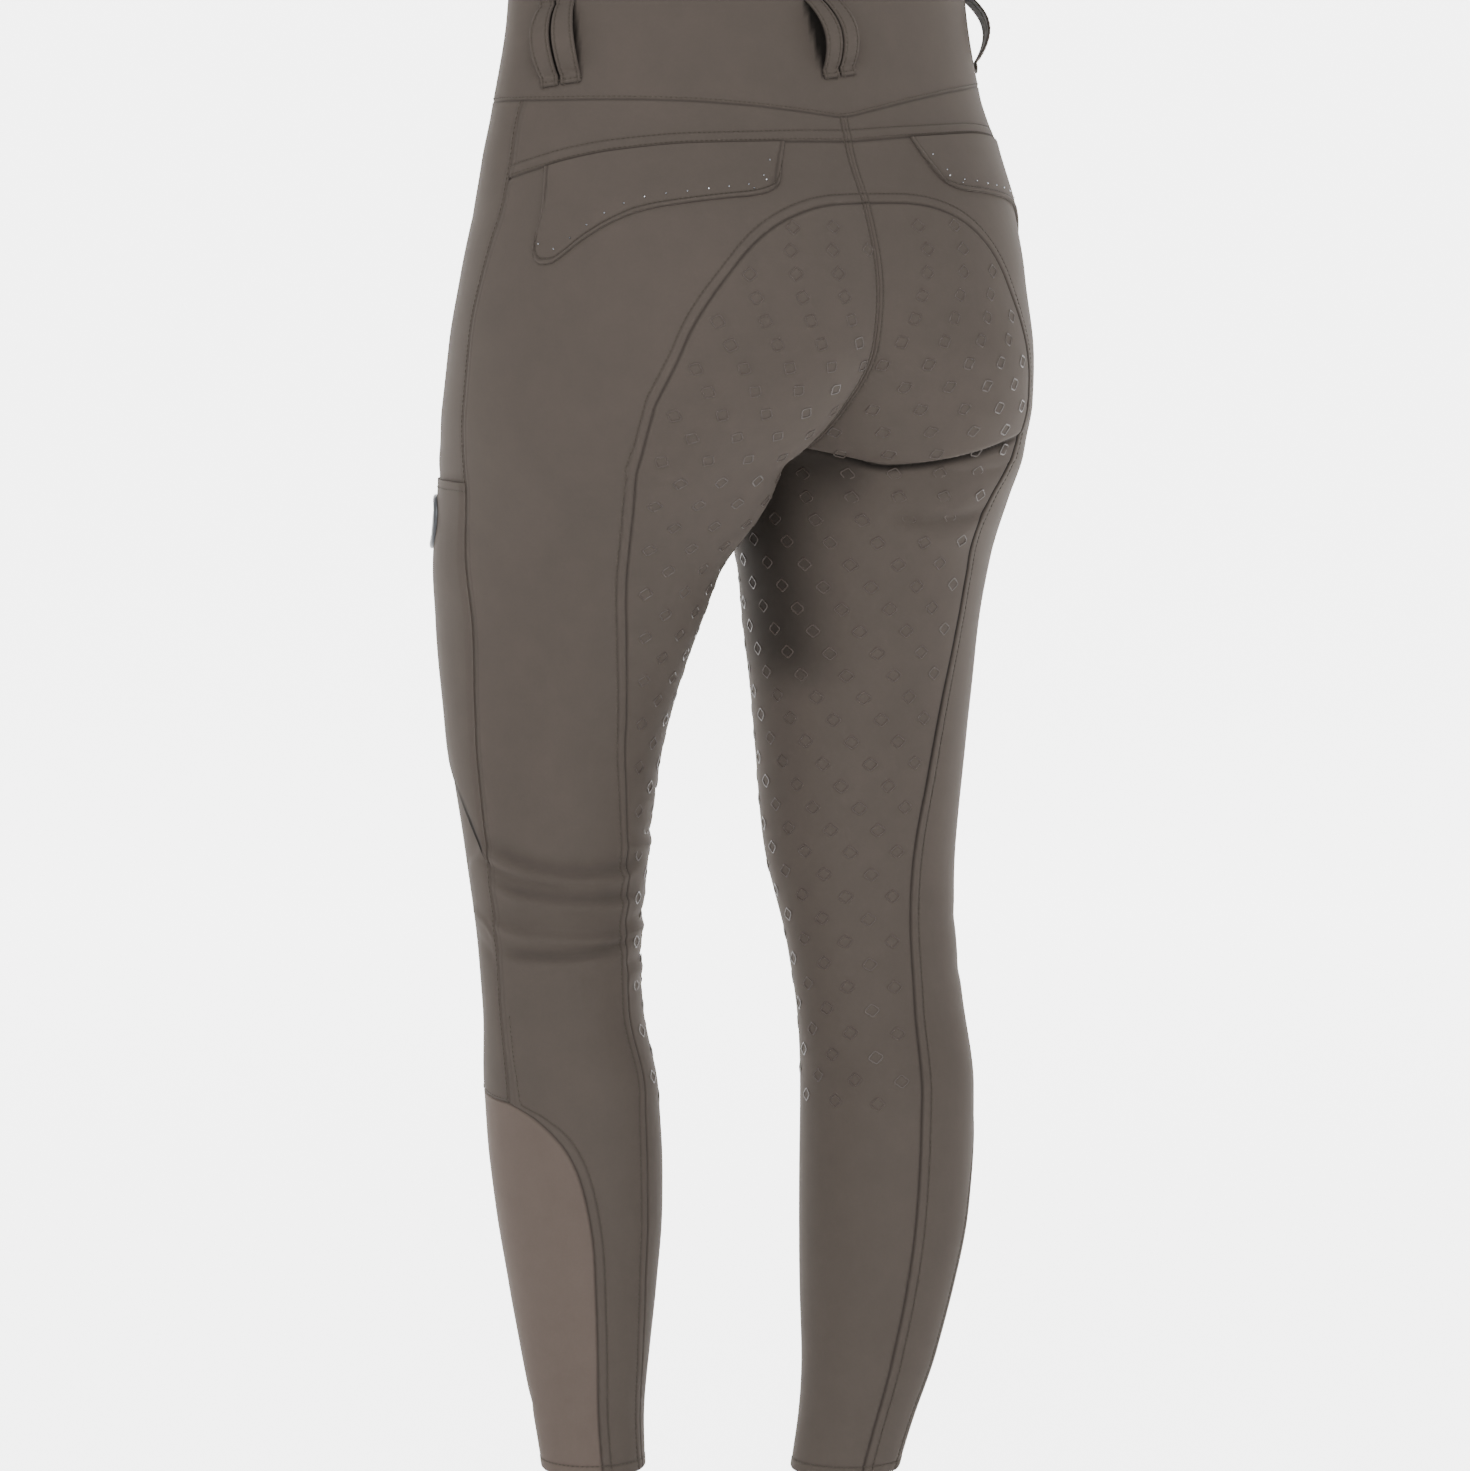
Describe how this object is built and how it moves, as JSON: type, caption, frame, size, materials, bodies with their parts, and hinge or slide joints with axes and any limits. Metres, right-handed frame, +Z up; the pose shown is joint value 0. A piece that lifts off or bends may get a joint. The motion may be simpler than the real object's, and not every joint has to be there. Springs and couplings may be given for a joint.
{
  "type": "riding breeches",
  "caption": "Women's full-seat riding breeches in their worn shape, with a deep waistband, pocket flaps, a thigh pocket and lighter calf panels.",
  "frame": {"origin": "centre of the waist, half-way up the waistband", "axes": "+Z up along the body, the front faces -Y, the wearer's left is +X"},
  "size_m": [0.3856, 0.2782, 0.9506],
  "materials": {
    "stretch_jersey": "matte",
    "calf_knit": "matte",
    "badge_rubber": "satin",
    "button_resin": "satin"
  },
  "bodies": {
    "root": {"back_left": "stretch_jersey", "back_right": "stretch_jersey", "badge": "badge_rubber", "button": "button_resin", "calf_left": "calf_knit", "calf_right": "calf_knit", "flap_left": "stretch_jersey", "flap_right": "stretch_jersey", "fly": "stretch_jersey", "front_left": "stretch_jersey", "front_right": "stretch_jersey", "loop_back_a": "stretch_jersey", "loop_back_b": "stretch_jersey", "loop_front_left_a": "stretch_jersey", "loop_front_left_b": "stretch_jersey", "loop_front_right_a": "stretch_jersey", "loop_front_right_b": "stretch_jersey", "loop_side_left_a": "stretch_jersey", "loop_side_left_b": "stretch_jersey", "loop_side_right_a": "stretch_jersey", "loop_side_right_b": "stretch_jersey", "seat_left": "stretch_jersey", "seat_right": "stretch_jersey", "thigh_pocket": "stretch_jersey", "waistband": "stretch_jersey", "yoke_left": "stretch_jersey", "yoke_right": "stretch_jersey"}
  },
  "joints": []
}
